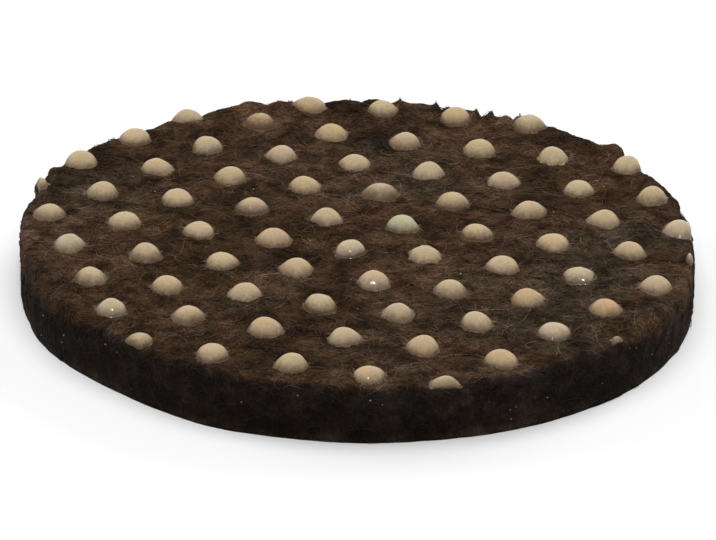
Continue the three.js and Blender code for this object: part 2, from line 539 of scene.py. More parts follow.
def concentric_sheet(cells):
    """A square grid of (2 * cells + 1) points a side, bent into a disc of radius 1, and its quads.

    Square ring k becomes circle k / cells, and a point keeps its share of the way along its side of the ring.
    So the rows of cells run round the rim. Also returns the outermost points' indices, anticlockwise."""
    side = 2 * cells + 1
    a, b = np.meshgrid(np.linspace(-1, 1, side), np.linspace(-1, 1, side), indexing="ij")
    wide = np.abs(a) > np.abs(b)
    radius = np.where(wide, a, b)
    safe = np.where(radius == 0, 1, radius)
    angle = np.where(wide, math.pi / 4 * b / safe, QUARTER_TURN - math.pi / 4 * a / safe)
    sheet = polar(radius, angle).reshape(-1, 2)
    index = np.arange(side * side).reshape(side, side)
    quads = np.stack([index[:-1, :-1], index[1:, :-1], index[1:, 1:], index[:-1, 1:]], axis=-1)
    edge = np.concatenate([index[:-1, 0], index[-1, :-1], index[:0:-1, -1], index[0, :0:-1]])
    return sheet, quads.reshape(-1, 4), edge


def closing_rings(edge, first_index):
    """Triangles that close a hole with ever smaller rings, each with half the points of the last, and a pole.

    Returns the triangles, which face down for an edge that runs anticlockwise, and for each new ring which
    edge points it lies inside of. Inner point i joins outer points 2i - 1, 2i and 2i + 1."""
    outer, picks = edge, np.arange(len(edge))
    triangles, ring_picks = [], []
    while len(outer) % 2 == 0 and len(outer) > 16:
        picks = picks[::2]
        inner = first_index + np.arange(len(picks))
        first_index += len(picks)
        even, odd, following = outer[::2], outer[1::2], np.roll(outer[::2], -1)
        inner_following = np.roll(inner, -1)
        triangles += [
            np.stack([odd, even, inner], axis=-1),
            np.stack([following, odd, inner_following], axis=-1),
            np.stack([odd, inner, inner_following], axis=-1),
        ]
        ring_picks.append(picks)
        outer = inner
    pole = np.full(len(outer), first_index)
    triangles.append(np.stack([np.roll(outer, -1), outer, pole], axis=-1))
    return np.concatenate(triangles), ring_picks


def felt_disc_mesh(form, cells=104):
    """The felt as one closed surface: the wrapped sheet, and a flat back of shrinking rings.
    Returns the points, quads, triangles and bake map, in which the sheet and the back are two discs, and how
    far each point lies past the face's edge."""
    flat_unit, quads, edge = concentric_sheet(cells)
    upper = form.surface(flat_unit * form.sheet_radius)[0]
    upper[edge, 2] = 0.0
    triangles, ring_picks = closing_rings(edge, len(upper))
    rim = upper[edge]
    shares = np.linspace(1, 0, len(ring_picks) + 2)[1:-1] ** 0.45
    rings = [rim[picks] * share for picks, share in zip(ring_picks, shares)]
    points = np.concatenate([upper, *rings, np.zeros((1, 3))])
    sheet_uv = np.array([0.32, 0.32]) + 0.31 * flat_unit
    back_uv = np.array([0.80, 0.80]) + 0.18 * points[:, :2] / form.radius
    corner_uv = np.concatenate([sheet_uv[quads.ravel()], back_uv[triangles.ravel()]])
    past_edge = np.full(len(points), form.sheet_radius - form.face_radius)
    past_edge[: len(upper)] = radius_of(flat_unit) * form.sheet_radius - form.face_radius
    return points, quads, triangles, corner_uv, past_edge


def closed_tubes(rings, first_tips, last_tips):
    """Many closed tubes at once. rings is (tubes, stations, sides, 3), and a tip closes each end.

    Sides turn left-handed about the way the stations go, and then faces point outwards. Returns the points,
    quads and triangles, and for each face corner its tube, its share of the way along and its share round."""
    tubes, stations, sides = rings.shape[:3]
    size = stations * sides + 2
    points = np.concatenate(
        [first_tips[:, None], rings.reshape(tubes, -1, 3), last_tips[:, None]], axis=1
    ).reshape(-1, 3)
    tube = np.arange(tubes)[:, None, None]
    station = np.arange(stations - 1)[None, :, None]
    side = np.arange(sides)[None, None, :]

    def corner(station_, side_):
        index = tube * size + 1 + station_ * sides + side_ % sides
        along = (station_ + 1) / (stations + 1) + 0.0 * index
        around = side_ / sides + 0.0 * index
        return index, tube + 0 * index, along, around

    def tip(offset, along):
        index = tube * size + offset + 0 * side
        return index, tube + 0 * index, along + 0.0 * index, (side + 0.5) / sides + 0.0 * index

    def face(*corners):
        stacked = [np.stack(part, axis=-1) for part in zip(*corners)]
        return [part.reshape(-1, len(corners)) for part in stacked]

    wall = face(*(corner(station + up, side + on) for up, on in ((0, 0), (1, 0), (1, 1), (0, 1))))
    first = face(tip(0, 0.0), corner(0, side), corner(0, side + 1))
    last = face(tip(size - 1, 1.0), corner(stations - 1, side + 1), corner(stations - 1, side))
    ends = [np.concatenate(pair) for pair in zip(first, last)]
    shares = [np.concatenate([w.ravel(), e.ravel()]) for w, e in zip(wall[1:], ends[1:])]
    return points, wall[0], ends[0], shares


def point_values(values, sides):
    """Values (tubes, stations), tips included, as one for each point of closed tubes."""
    middle = np.repeat(values[:, 1:-1], sides, axis=1)
    return np.concatenate([values[:, :1], middle, values[:, -1:]], axis=1).ravel()


def strip_uv(tube, along, around, tubes):
    """A bake map with a narrow rectangle for each tube."""
    length_to_width = 16
    columns = max(1, round(math.sqrt(tubes / length_to_width)))
    rows = math.ceil(tubes / columns)
    u = (tube % columns + 0.02 + 0.96 * along) / columns
    v = (tube // columns + 0.1 + 0.8 * around) / rows
    return np.stack([u, v], axis=-1)


def disc_uv(tube, along, around, tubes):
    """A bake map with a disc for each tube, in a square of cells: the first tip is a disc's centre, and the
    stations are circles round it."""
    columns = math.ceil(math.sqrt(tubes))
    cell = np.stack([tube % columns, tube // columns], axis=-1)
    return (cell + 0.5 + polar(0.47 * along, FULL_TURN * around)) / columns


def wandering_paths(rng, starts, heading, lengths, stations, curl, wave):
    """Paths (fibres, stations, 2) on the flat sheet that wander as fibres do.

    A path's heading is its first heading, plus a steady curl, plus a sine wave, and its points are the
    running sum of short steps along the heading."""
    count = len(starts)
    share = np.linspace(0, 1, stations)[None, :]
    heading = heading[:, None] + rng.normal(0, curl, (count, 1)) * share
    swing, turns, phase = rng.normal(0, wave, (3, count, 1))
    heading = heading + swing * np.sin(FULL_TURN * (0.6 + np.abs(turns)) * share + 3 * phase)
    step = polar((lengths / (stations - 1))[:, None], heading)
    return starts[:, None, :] + np.cumsum(step, axis=1) - step[:, :1]


def fibre_tubes(rng, form, paths, lift, widths, **attributes):
    """Three-sided tubes along paths on the sheet, raised by lift (fibres, stations) from the felt.

    At each station the tube's own axes are the path's direction, the sideways direction across the felt and
    the one away from it. The section is a triangle turned by a random angle, and it thins to a tip.
    Returns the closed tubes and their point attributes: those given for the fibres or their stations, a
    random tone for each fibre, and how far each point lies past the face's edge."""
    attributes["tone"] = rng.uniform(0, 1, (len(paths), 1))
    attributes["past_edge"] = radius_of(paths) - form.face_radius
    centres, outwards = form.surface(paths, BROAD_LUMPS, lift)
    ahead = unit(np.gradient(centres, axis=1))
    sideways = unit(np.cross(ahead, outwards))
    away = np.cross(sideways, ahead)
    middle = slice(1, -1)
    share = np.linspace(0, 1, paths.shape[1])[None, middle, None]
    angle = rng.uniform(0, FULL_TURN, (len(paths), 1, 1)) + 2.0 * share
    angle = angle + FULL_TURN * np.arange(FIBRE_SIDES)[None, None, :] / FIBRE_SIDES
    reach = widths[:, None, None] / 2 * growing(np.sin(math.pi * share) ** 0.6, 0.45)
    section = polar(1, angle)
    across = section[..., :1] * sideways[:, middle, None] + section[..., 1:] * away[:, middle, None]
    rings = centres[:, middle, None] + reach[..., None] * across
    whole = np.ones(paths.shape[:2])
    per_point = {label: point_values(values * whole, FIBRE_SIDES) for label, values in attributes.items()}
    return closed_tubes(rings, centres[:, 0], centres[:, -1]), per_point


def kept_on_sheet(form, paths, margin):
    """Paths drawn in so that they stay inside the sheet."""
    return paths * np.minimum(1, (form.sheet_radius - margin) / np.maximum(radius_of(paths), MM))[..., None]


def scatter(rng, count, inner, outer):
    """Random points (count, 2), even over a ring of the flat sheet between two radii."""
    radius = np.sqrt(rng.uniform(inner**2, outer**2, count))
    return polar(radius, rng.uniform(0, FULL_TURN, count))


def lying_fibres(form, fibres, seed, arch, width_scale, length_scale, stations):
    """Fibres that lie on the face, shoulder and wall: both ends are tucked into the felt, and the middle
    arches up by a random height, as the sine of the share of the way along. Beside a drop, and from the
    shoulder outwards, they lie low.
    The more stations a fibre has, the fewer fibres there are."""
    rng = np.random.default_rng(seed)
    count = round(fibres.per_layer * 8 / (stations - 2))
    starts = scatter(rng, count, 0, form.sheet_radius - 0.8 * MM)
    lengths = fibres.length * length_scale * rng.uniform(0.5, 1.5, count)
    heading = rng.uniform(0, FULL_TURN, count)
    paths = wandering_paths(rng, starts, heading, lengths, stations, 2.2, 1.1)
    paths = kept_on_sheet(form, paths, 0.06 * MM)
    share = np.linspace(0, 1, stations)[None, :]
    height = rng.exponential(arch, (count, 1)).clip(0, 4 * arch)
    lift = height * np.sin(math.pi * share) ** 0.8 + rng.uniform(-0.04, 0.0, (count, 1)) * MM
    lift = lift - (lift + 0.05 * MM).clip(0) * form.near_drop(paths)
    near_edge = np.clip((radius_of(paths) - form.face_radius) / (0.5 * MM) + 1, 0, 1)
    lift = lift - 0.75 * lift.clip(0) * near_edge
    widths = fibres.width * width_scale * rng.uniform(0.7, 1.3, count)
    return fibre_tubes(rng, form, paths, lift, widths)


def stray_fibres(form, fibres, seed):
    """Short fibres round the edge and wall with one end loose: it stands off by a random height times the
    square of the share of the way along. The first of them are gathered in tufts on the upper edge, where
    they stand off further and lean together."""
    rng = np.random.default_rng(seed)
    count, stations = fibres.strays, 11
    starts = scatter(rng, count, form.face_radius - 1.2 * MM, form.sheet_radius - 0.5 * MM)
    lengths = rng.uniform(0.4, 1.5, count) * MM
    heading = rng.uniform(0, FULL_TURN, count)
    height = rng.exponential(0.035 * MM, (count, 1)).clip(0, 0.16 * MM)
    tufted = min(count, TUFT_FIBRES * len(EDGE_TUFTS))
    centre, half_width, tall = np.repeat(EDGE_TUFTS, TUFT_FIBRES, axis=0)[:tufted].T
    azimuth = np.radians(centre + half_width * rng.normal(0, 0.7, tufted))
    radius = form.face_radius + form.shoulder * rng.uniform(0.3, 1.1, tufted)
    starts[:tufted] = polar(radius, azimuth)
    lengths[:tufted] = rng.uniform(0.1, 0.3, tufted) * MM
    height[:tufted, 0] = tall * rng.uniform(0.5, 1.15, tufted)
    paths = wandering_paths(rng, starts, heading, lengths, stations, 2.2, 1.0)
    paths = kept_on_sheet(form, paths, 0.1 * MM)
    share = np.linspace(0, 1, stations)[None, :]
    lift = height * share**2 - 0.03 * MM * (1 - share)
    widths = fibres.width * 0.85 * rng.uniform(0.7, 1.2, count)
    return fibre_tubes(rng, form, paths, lift, widths)


def fringe_fibres(form, fibres, seed):
    """Fibres soaked in latex that stick out of each drop's skirt, roughly away from its middle: their
    wetness falls from 1 inside the drop to 0 at the tip. Many of them gather where the drop soaked further,
    and are longer there. Drops that the die cut have none."""
    rng = np.random.default_rng(seed)
    each, stations = fibres.fringe, 6
    on_face = radius_of(form.drop_places) < form.face_radius - form.drop_radius
    whole = on_face & (form.drop_scales[:, 0] == 1)
    places = np.repeat(form.drop_places[whole], each, axis=0)
    count = len(places)
    azimuth = rng.uniform(0, FULL_TURN, count)
    ways, far = (np.repeat(part[whole], each, axis=0) for part in form.drop_runs)
    pick = np.arange(count), rng.integers(0, RUNS_EACH, count)
    gathered = rng.uniform(0, 1, count) < 0.4
    azimuth = np.where(gathered, ways[pick] + rng.normal(0, 0.3, count), azimuth)
    starts = places + polar(form.drop_radius * rng.uniform(0.88, 1.02, count), azimuth)
    lengths = rng.gamma(3.0, 0.075, count).clip(0.12, 0.5) * MM + 1.1 * far[pick] * gathered
    heading = azimuth + rng.normal(0, 0.75, count) * np.where(gathered, 0.5, 1.0)
    paths = wandering_paths(rng, starts, heading, lengths, stations, 0.9, 0.5)
    share = np.linspace(0, 1, stations)[None, :]
    lift = rng.uniform(0.0, 0.07, (count, 1)) * MM + 0.06 * MM * (1 - share) - 0.03 * MM * share
    widths = fibres.width * rng.uniform(0.5, 1.0, count)
    wet = (1 - share) ** rng.uniform(0.5, 1.4, (count, 1))
    return fibre_tubes(rng, form, paths, lift, widths, wet=wet)


def add_fibres(name, made, finish, slot="felt"):
    """A piece of fibres from their closed tubes and point attributes."""
    (points, quads, triangles, (tube, along, around)), attributes = made
    uv = strip_uv(tube, along, around, int(tube.max()) + 1)
    return add_piece(name, points, quads, triangles, uv, finish, slot, attributes)


def waved_outline(rng, count, theta, orders_and_sizes):
    """Sums of a few cosine waves round each of many outlines, each wave with a random size and phase."""
    total = np.zeros((count, len(theta)))
    for order, size in orders_and_sizes:
        phase = rng.uniform(0, FULL_TURN, (count, 1))
        total += rng.normal(0, size, (count, 1)) * np.cos(order * theta + phase)
    return total


def drawn_in(form, flat):
    """Places drawn in to where the die cut the latex, and how far they are from the cut: over the last bit
    before it the radius nears it as an exponential does its limit, so that no two places fall together."""
    reach = radius_of(flat)
    swell = form.rim_swell(azimuth_of(flat))[0]
    edge = form.radius + swell - CUT_SETBACK
    over = np.maximum(reach - (edge - CUT_MARGIN), 0)
    inner = np.where(over > 0, edge - CUT_MARGIN * np.exp(-over / CUT_MARGIN), reach)
    return flat * (inner / np.maximum(reach, 1e-9))[..., None], edge - inner


def drop_looks(rng, steps):
    """Each drop's own hue, gloss and stain: random, but for the drops that are listed."""
    hue = rng.uniform(0.2, 0.7, len(steps))
    gloss = rng.uniform(0.0, 0.35, len(steps))
    stain = rng.normal(0, 0.05, len(steps)).clip(-0.1, 0.1)
    glossy = [(step, 1.0) for step in GLOSSY_DROPS]
    for values, listed in ((hue, HUED_DROPS), (gloss, glossy), (stain, STAINED_DROPS)):
        for step, value in listed:
            values[is_drop(steps, step)] = value
    return {"batch": hue, "gloss": gloss, "stain": stain}


def drop_surface(form, sizes, seed=41):
    """All the drops as closed tubes that run from the top of each dome to its root in the felt.

    With s the share of the way out to the dome's edge, a dome's height is height * (1 - s * s) ** fullness.
    Its outline is the dome's radius times a few random waves round it, drawn out by a bell curve the ways
    it soaked. Past the dome a thin ragged skirt lies on the felt, and below it the drop narrows to its root.
    A nub is narrower and lower. A drop that the die cut is lower the less of it is left, and ends at the cut.
    Also returns each point's height, as a share of a drop's, and its drop's hue, gloss and stain."""
    rng = np.random.default_rng(seed)
    steps, inside = form.drop_steps, form.drop_inside
    count, below = len(steps), len(SKIRT_STANDS)
    cut_off = inside < WHOLE_SHARE
    cut_rings = cut_off[:, None, None]
    wide, high = form.drop_scales.T
    places = form.drop_places + rng.normal(0, PRINT_SCATTER, (count, 2))
    theta = FULL_TURN * np.arange(DROP_SIDES) / DROP_SIDES
    waves = waved_outline(rng, count, theta, OUTLINE_WAVES)
    ragged = waved_outline(rng, count, theta, SKIRT_WAVES)
    way_out, far = form.drop_runs
    tongues = np.exp(-((turn_between(theta, way_out[..., None]) / RUN_HALF_ANGLE) ** 2))
    run = (far[..., None] * tongues).sum(axis=1)
    radius = form.drop_radius * rng.normal(1, 0.035, (count, 1)).clip(0.9, 1.1) * (1 + waves)
    radius = radius * wide[:, None]
    height = sizes.drop_height * rng.normal(1, 0.07, count).clip(0.82, 1.12)
    height = height * np.where(cut_off & (wide == 1), CUT_HEIGHT[0] + CUT_HEIGHT[1] * inside, high)
    fullness = rng.uniform(0.62, 1.05, (count, 1))
    skirt = sizes.skirt * np.exp(ragged) + SKIRT_RUN * run

    def and_below(on_dome, rest):
        """A value for each of the dome's rings, then the same one for each ring below it."""
        return np.append(on_dome, np.full(below, rest))

    share = np.sin(QUARTER_TURN * np.arange(1, DROP_RINGS + 1) / DROP_RINGS)
    dome_out = share[None, :, None] * radius[:, None, :]
    dome_out = dome_out + (share**4)[None, :, None] * (DOME_RUN * run)[:, None, :]
    skirt_out = radius[:, None, :] + SKIRT_SHARES[None, :, None] * skirt[:, None, :]
    out = np.concatenate([dome_out, skirt_out, ROOT_SHARE * radius[:, None, :]], axis=1)
    rise = (1 - share**2) ** fullness
    stand = np.concatenate([rise * height[:, None], np.tile(SKIRT_STANDS, (count, 1))], axis=1)
    stand = stand + EDGE_LIFT * and_below(share**4, 0.0)
    lean = rng.normal(0, 0.05, (count, 1, 1, 2)) * and_below(rise.mean(axis=0), 0.0)[:, None, None]
    flat = places[:, None, None] + out[..., None] * polar(1, theta) + lean * form.drop_radius
    flat, to_cut = drawn_in(form, flat)
    apex_flat, apex_to_cut = drawn_in(form, places + lean[:, 0, 0] * form.drop_radius)
    root_flat, _ = drawn_in(form, places)

    def cut_dome(flat_, to_cut_, shape):
        """A cut drop's dome over a place, from the place alone: with s the share of the way out to the dome's
        edge, height * (1 - s * s) ** 0.55, rounded down to nothing at the cut by a square root."""
        out_share = radius_of(flat_ - places.reshape(shape + (2,))) / radius.mean(axis=1).reshape(shape)
        down = np.clip(to_cut_ / CUT_ROUNDING, 0, 1) ** 0.5
        return height.reshape(shape) * np.maximum(1 - out_share**2, 0) ** 0.55 * down + CUT_LIFT

    stand = np.repeat(stand[:, :, None], DROP_SIDES, axis=2)
    lowered = cut_dome(flat[:, :DROP_RINGS], to_cut[:, :DROP_RINGS], (count, 1, 1))
    stand[:, :DROP_RINGS] = np.where(cut_rings, lowered, stand[:, :DROP_RINGS])
    apex_stand = np.where(cut_off, cut_dome(apex_flat, apex_to_cut, (count,)), height)

    # Over its middle a drop stands on the felt's mean height there, and at its outline on the felt itself
    centre_ground = form.height_at(root_flat)
    at_outline = np.where(cut_rings, 1.0, and_below(share**3, 1.0)[None, :, None])
    ground = form.height_at(flat) * at_outline + centre_ground[:, None, None] * (1 - at_outline)
    apex_ground = np.where(cut_off, form.height_at(apex_flat), centre_ground)
    rings = np.concatenate([flat, (ground + stand)[..., None]], axis=-1)
    rings = rings + 0.012 * MM * soft_noise(rings, 0.45 * MM, 42)[..., None]
    apex = np.concatenate([apex_flat, (apex_stand + apex_ground)[:, None]], axis=-1)
    root = np.concatenate([root_flat, (centre_ground + ROOT_STAND)[:, None]], axis=-1)

    level = [apex_stand[:, None], stand.reshape(count, -1), np.full((count, 1), ROOT_STAND)]
    attributes = {"rise": (np.concatenate(level, axis=1) / sizes.drop_height).ravel()}
    points_each = (DROP_RINGS + below) * DROP_SIDES + 2
    for label, values in drop_looks(rng, steps).items():
        attributes[label] = np.repeat(values, points_each)
    return closed_tubes(rings, apex, root), attributes


def spatter_surface(form, seed=51):
    """Specks of latex thrown off by the printing: small lopsided balls, half sunk in the felt.

    A ball's station k lies at polar angle pi * k / n from its top, and the ball is flattened towards the
    felt."""
    specks_on_face, specks_on_wall = 34, 70
    stations, sides, flatness = 5, 7, 0.8
    rng = np.random.default_rng(seed)
    on_face = scatter(rng, specks_on_face, 0, form.face_radius)
    on_wall = scatter(rng, specks_on_wall, form.bend_end, form.sheet_radius - 0.2 * MM)
    where = np.concatenate([on_face, on_wall])
    centres, outwards = form.surface(where, lift=0.06 * MM)
    size = rng.uniform(0.02, 0.055, (len(where), 1, 1, 1)) * MM
    polar_angle = math.pi * np.arange(1, stations)[None, :, None, None] / stations
    any_way = np.array([0.31, 0.57, 0.76])
    sideways = unit(np.cross(outwards, any_way))
    across = np.cross(outwards, sideways)
    stretch = rng.uniform(0.7, 1.5, (len(where), 1, 1, 1))
    circle = polar(1, FULL_TURN * np.arange(sides) / sides)[None, None]
    section = stretch * circle[..., :1] * sideways[:, None, None] + circle[..., 1:] * across[:, None, None]
    ball = np.sin(polar_angle) * section + flatness * np.cos(polar_angle) * outwards[:, None, None]
    rings = centres[:, None, None] + size * ball
    tip = flatness * size[:, 0, 0] * outwards
    return closed_tubes(rings, centres + tip, centres - tip), len(where)


class Finish:
    """A new material and the few kinds of node that the pad's finishes are made of."""

    def __init__(self, name):
        self.material = bpy.data.materials.new(name)
        self.material.use_nodes = True
        self.tree = self.material.node_tree
        self.shader = next(n for n in self.tree.nodes if n.type == "BSDF_PRINCIPLED")
        self.place = self.tree.nodes.new("ShaderNodeTexCoord").outputs["Object"]

    def node(self, kind, **inputs):
        """A new node with its sockets filled."""
        return self.fill(self.tree.nodes.new(kind), inputs)

    def dress(self, **inputs):
        """Fills the surface shader's sockets, and returns the finished material."""
        self.fill(self.shader, inputs)
        return self.material

    def fill(self, node, inputs):
        """Gives named sockets values or other nodes' outputs. A name's underscores stand for spaces."""
        for label, value in inputs.items():
            self.put(node.inputs[label.replace("_", " ")], value)
        return node

    def put(self, socket, value):
        if isinstance(value, bpy.types.NodeSocket):
            self.tree.links.new(value, socket)
        elif socket.type == "RGBA":
            socket.default_value = (*value, 1.0)
        else:
            socket.default_value = value

    def noise(self, lump, detail=2.0, rough=0.5, twist=0.0):
        """Clouds from 0 to 1, in lumps about that wide."""
        made = self.node("ShaderNodeTexNoise", Vector=self.place, Scale=1 / lump, Detail=detail)
        self.fill(made, {"Roughness": rough, "Distortion": twist})
        return made.outputs["Fac"]

    def stored(self, label):
        """The piece's own value of that name at each point."""
        made = self.tree.nodes.new("ShaderNodeAttribute")
        made.attribute_name = label
        return made.outputs["Fac"]

    def height(self):
        return self.node("ShaderNodeSeparateXYZ", Vector=self.place).outputs["Z"]

    def beside(self):
        """How far to the left or right of the middle."""
        across = self.node("ShaderNodeSeparateXYZ", Vector=self.place).outputs["X"]
        return self.combine(across, 0.0, "ABSOLUTE")

    def spread(self, value, low, high, to_low=0.0, to_high=1.0):
        """The value as it goes from low to high, as a smooth step between two others."""
        ends = {"From_Min": low, "From_Max": high, "To_Min": to_low, "To_Max": to_high}
        made = self.node("ShaderNodeMapRange", Value=value, **ends)
        made.interpolation_type = "SMOOTHSTEP"
        return made.outputs["Result"]

    def combine(self, first, second, operation="ADD"):
        """Two values added, or put together by another operation."""
        made = self.tree.nodes.new("ShaderNodeMath")
        made.operation = operation
        self.put(made.inputs[0], first)
        self.put(made.inputs[1], second)
        return made.outputs[0]

    def blend(self, share, first, second, kind="MIX"):
        """From the first colour to the second by a share."""
        made = self.tree.nodes.new("ShaderNodeMix")
        made.data_type = "RGBA"
        made.blend_type = kind
        self.put(made.inputs[0], share)
        self.put(made.inputs[6], first)
        self.put(made.inputs[7], second)
        return made.outputs[2]

    def bump(self, height, depth):
        made = self.node("ShaderNodeBump", Height=height, Distance=depth)
        self.put(self.shader.inputs["Normal"], made.outputs["Normal"])


def felt_hues(finish, colours):
    """Brown felt that turns russet and olive in patches, on the face, and darker and duller on the cut wall,
    partly as painted shade; the wall also turns paler towards its foot.
    """
    russet = finish.spread(finish.noise(8.0 * MM, 2), 0.36, 0.66)
    olive = finish.spread(finish.noise(9.0 * MM, 2, 0.5, 0.4), 0.45, 0.72, 0.0, 0.8)
    hue = finish.blend(olive, finish.blend(russet, colours.brown, colours.russet), colours.olive)
    # Paler towards the wall's foot, blended towards the dust colour
    paler_towards_foot = finish.spread(finish.height(), 0.1 * MM, 0.7 * MM, 0.25, 0.0)
    specks = finish.spread(finish.noise(0.15 * MM, 1), 0.57, 0.72, 0.0, 0.42)
    linty = finish.combine(specks, finish.spread(finish.noise(1.6 * MM, 3, 0.65), 0.46, 0.66), "MULTIPLY")
    fine = finish.spread(finish.noise(0.8 * MM, 3, 0.7), 0.36, 0.64, 0.55, 1.45)
    broad = finish.spread(finish.noise(3.2 * MM, 2, 0.6), 0.34, 0.66, 0.45, 1.45)
    shade = finish.combine(fine, broad, "MULTIPLY")
    # The cut edge's colour: partly the cut fibre ends, partly painted shade of the wall facing away from the
    # lamps
    edge = finish.blend(1.0, colours.edge, shade, "MULTIPLY")
    wall = finish.blend(finish.combine(paler_towards_foot, linty), edge, colours.dust)
    return finish.blend(wall_share(finish), hue, wall)


def wall_share(finish):
    """1 on the cut wall and 0 on the face, with a ragged border on the shoulder, which lies lower at the pad's
    two sides: there the face's lighter colour runs down the wall as painted light, where the side lamps fall on
    the wall's ends."""
    ragged = finish.combine(finish.noise(2.5 * MM, 4, 0.75), 1.8 * MM, "MULTIPLY")
    # Painted light: near the pad's two sides the face's colour reaches lower down the wall, as if lit by the
    # side lamps
    painted_side_light = finish.spread(finish.beside(), 14.0 * MM, 19.6 * MM, 0.0, 1.5 * MM)
    level = finish.combine(finish.combine(finish.stored("past_edge"), ragged), painted_side_light, "SUBTRACT")
    return finish.spread(level, 0.90 * MM, 1.30 * MM)


def mottled_and_shaded(finish, colour):
    """The colour, lighter and greyer in some patches and darker and warmer in others: partly the felt's own
    uneven tone, partly painted shade in its loose, deep pores and a painted greyish sheen on its dense tufts.
    """
    fine = finish.spread(finish.noise(1.4 * MM, 3, 0.75), 0.30, 0.72, 0.32, 1.95)
    broad = finish.spread(finish.noise(7.0 * MM, 2, 0.7), 0.30, 0.70, 0.5, 1.6)
    shade = finish.combine(fine, broad, "MULTIPLY")
    tint = finish.node("ShaderNodeCombineColor")
    # Lighter patches turn greyer, as a painted sheen would
    for channel, power in enumerate((0.92, 1.0, 1.14)):
        finish.put(tint.inputs[channel], finish.combine(shade, power, "POWER"))
    return finish.blend(1.0, colour, tint.outputs["Color"], "MULTIPLY")


def felt_ground_finish(colours):
    """The matted felt that lies under the loose fibres, with painted shade in its fine pores."""
    finish = Finish("matted_felt")
    # Painted shade: the felt's ground colour in its fine pores
    shaded_pores = finish.spread(finish.noise(0.16 * MM, 4, 0.6), 0.36, 0.62)
    hue = finish.blend(shaded_pores, colours.ground, felt_hues(finish, colours))
    finish.bump(finish.noise(0.11 * MM, 4, 0.65), 0.05 * MM)
    return finish.dress(Base_Color=mottled_and_shaded(finish, hue), Roughness=0.95, Specular_IOR_Level=0.1)


def fibre_colour(finish, colours, palest):
    """A fibre's colour by its own tone, from the felt's ground up to a share of the way to tan."""
    tone = finish.stored("tone")
    dark = finish.blend(finish.spread(tone, -0.8, 0.4), colours.ground, felt_hues(finish, colours))
    # Fewer pale fibres on the wall, which makes it darker: partly painted shade, as in the cut edge's colour
    on_wall = finish.spread(finish.stored("past_edge"), 0.0, 1.2 * MM, palest, 0.06 * palest)
    tan = finish.combine(finish.spread(tone, 0.45, 1.0), on_wall, "MULTIPLY")
    return mottled_and_shaded(finish, finish.blend(tan, dark, colours.tan))


def fibre_finish(name, colours, palest):
    """Loose dry fibres."""
    finish = Finish(name)
    colour = fibre_colour(finish, colours, palest)
    return finish.dress(Base_Color=colour, Roughness=0.75, Specular_IOR_Level=0.2)


def fringe_finish(colours):
    """Fibres that the latex has soaked, less and less towards their tips."""
    finish = Finish("soaked_fibre")
    wet = finish.spread(finish.stored("wet"), 0.0, 0.9, 0.0, 0.62)
    dry = fibre_colour(finish, colours, 0.5)
    return finish.dress(Base_Color=finish.blend(wet, dry, colours.soaked), Roughness=0.6)


def latex_finish(colours):
    """Cured latex: each drop has a hue of its own, and it darkens towards its foot and skirt, partly stained by
    the felt where it is thin and partly as painted shade on its low flanks.
    """
    finish = Finish("cured_latex")
    batch, rise, gloss = (finish.stored(label) for label in ("batch", "rise", "gloss"))
    warm = finish.blend(finish.spread(batch, 0.35, 1.0), colours.cream, colours.amber)
    hue = finish.blend(finish.spread(batch, 0.0, 0.25, 1.0, 0.0), warm, colours.pale)
    clouds = finish.spread(finish.noise(0.7 * MM, 3), 0.4, 0.75, 0.0, 0.4)
    dyed = finish.spread(finish.noise(1.1 * MM, 2), 0.46, 0.70, 0.0, 0.6)
    tinted = finish.blend(dyed, finish.blend(clouds, hue, colours.amber), colours.pink)
    ragged = finish.combine(finish.noise(0.25 * MM, 3), 0.5, "MULTIPLY")
    clean = finish.combine(finish.combine(rise, ragged), finish.stored("stain"), "SUBTRACT")
    # Stain and painted shade: darker the lower a point stands on its drop
    stain_and_shade_share = finish.spread(clean, 0.13, 1.03, 1.0, 0.0)
    grain = finish.spread(finish.noise(0.11 * MM, 2), 0.30, 0.70, 0.90, 1.07)
    stained = finish.blend(stain_and_shade_share, finish.blend(1.0, tinted, grain, "MULTIPLY"), colours.stained)
    dull = finish.spread(finish.noise(0.3 * MM, 2), 0.4, 0.6, 0.56, 0.48)
    wet = finish.combine(gloss, 0.38, "MULTIPLY")
    finish.bump(finish.noise(0.12 * MM, 3), 0.006 * MM)
    return finish.dress(
        Base_Color=stained,
        Roughness=finish.combine(dull, wet, "SUBTRACT"),
        Specular_IOR_Level=finish.spread(gloss, 0.2, 0.9, 0.2, 0.5),
        Subsurface_Weight=0.08,
        Subsurface_Radius=(0.6, 0.4, 0.25),
        Subsurface_Scale=0.5 * MM,
    )


def spatter_finish(colours):
    """Dried specks of latex, dusted with felt."""
    finish = Finish("latex_specks")
    dust = finish.spread(finish.noise(0.08 * MM, 2), 0.35, 0.65)
    return finish.dress(Base_Color=finish.blend(dust, colours.stained, colours.pale), Roughness=0.5)


def seen_share(tree):
    """1 for what the camera sees, straight or in a mirror or through glass, and 0 for light on its way."""
    path = tree.nodes.new("ShaderNodeLightPath")
    total = path.outputs["Is Camera Ray"]
    for label in ("Is Glossy Ray", "Is Transmission Ray"):
        add = tree.nodes.new("ShaderNodeMath")
        add.operation = "ADD"
        add.use_clamp = True
        tree.links.new(total, add.inputs[0])
        tree.links.new(path.outputs[label], add.inputs[1])
        total = add.outputs[0]
    return total


def floor_finish(colours):
    """A pale matt floor. It throws back less light than it shows, so that the pad's wall stays in shade."""
    finish = Finish("pale_floor")
    dull = (0.18, 0.18, 0.18)
    colour = finish.blend(seen_share(finish.tree), dull, colours.floor)
    return finish.dress(Base_Color=colour, Roughness=0.9, Specular_IOR_Level=0.0)


